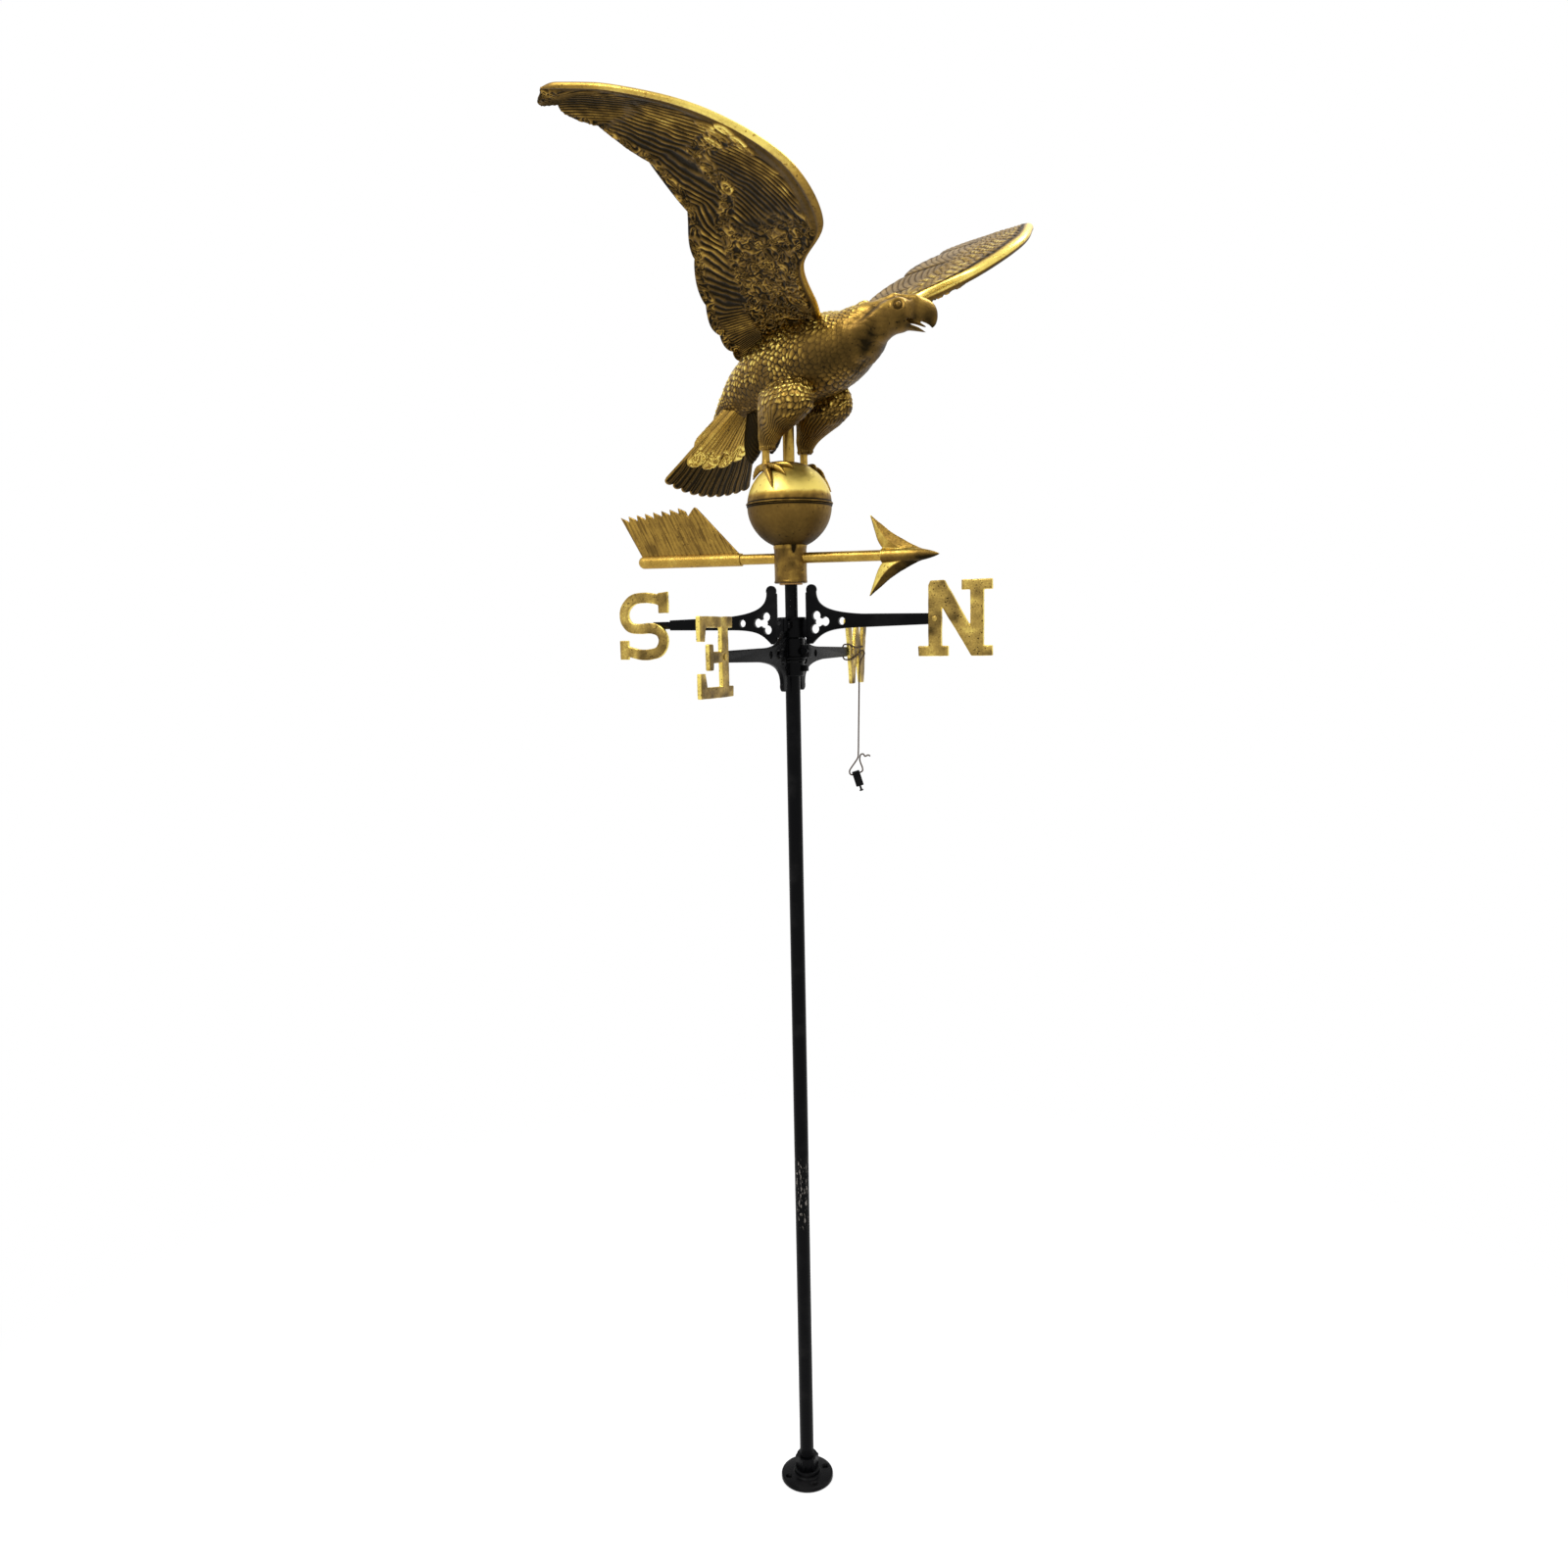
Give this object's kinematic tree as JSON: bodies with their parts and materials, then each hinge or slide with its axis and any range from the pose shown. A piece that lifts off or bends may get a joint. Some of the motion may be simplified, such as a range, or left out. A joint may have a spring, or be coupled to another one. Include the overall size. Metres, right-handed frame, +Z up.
{
  "type": "eagle weathervane",
  "caption": "Gilded eagle with raised wings on a ball and arrow, turning on an iron mast with a floor flange, above fixed arms with compass letters.",
  "frame": {"origin": "on the mast axis, in the underside of the floor flange", "axes": "+Z up along the mast, +X toward the north letter, +Y toward the west letter; at rest the arrow points along +X"},
  "size_m": [0.5905, 0.7321, 1.9031],
  "materials": {
    "gilt": "worn gold leaf over copper",
    "pale_gilt": "pale, pitted gilding on flat letters",
    "black_iron": "old black paint, rubbed and scratched",
    "black_steel": "black painted steel",
    "bronze": "plain turned bronze",
    "bright_steel": "bright steel",
    "twine": "brown twine"
  },
  "bodies": {
    "mast": {"floor_flange": "black_iron", "hex_locknut": "black_iron", "mast_pipe": "black_iron", "spindle": "black_steel", "arm_north": "black_iron", "arm_south": "black_iron", "arm_east": "black_iron", "arm_west": "black_iron", "letter_north": "pale_gilt", "letter_south": "pale_gilt", "letter_east": "pale_gilt", "letter_west": "pale_gilt", "letter_rivet_north": "pale_gilt", "letter_rivet_south": "pale_gilt", "letter_rivet_east": "pale_gilt", "letter_rivet_west": "pale_gilt", "clamp_bolt_north_south_1": "black_steel", "clamp_bolt_north_south_2": "black_steel", "clamp_bolt_east_west_1": "black_steel", "clamp_bolt_east_west_2": "black_steel", "clamp_nut_north_south_1": "black_steel", "clamp_nut_north_south_2": "black_steel", "clamp_nut_east_west_1": "black_steel", "clamp_nut_east_west_2": "black_steel", "stop_collar": "black_iron", "stop_collar_screw_1": "black_steel", "stop_collar_screw_2": "black_steel", "twine": "twine", "twine_clamp": "black_steel", "twine_clamp_screw": "black_steel"},
    "vane": {"vane_collar": "gilt", "collar_bush": "bronze", "thrust_ball": "bright_steel", "spindle_tube": "gilt", "ball_upper": "gilt", "ball_lower": "gilt", "arrow_front_rod": "gilt", "arrow_rear_rod": "gilt", "arrow_point": "gilt", "arrow_sleeve": "gilt", "arrow_fletching": "gilt", "body_right": "gilt", "body_left": "gilt", "head": "gilt", "wing_right": "gilt", "wing_left": "gilt", "thigh_right": "gilt", "thigh_left": "gilt", "foot_right": "gilt", "foot_left": "gilt", "tail_fan": "gilt", "upper_tail_coverts": "gilt", "under_tail_coverts": "gilt", "vent_tuft": "gilt"}
  },
  "joints": [
    {"name": "vane_spin", "type": "hinge", "parent": "mast", "child": "vane", "pos_m": [0, 0, 1.405], "axis": [0, 0, 1], "continuous": true}
  ]
}
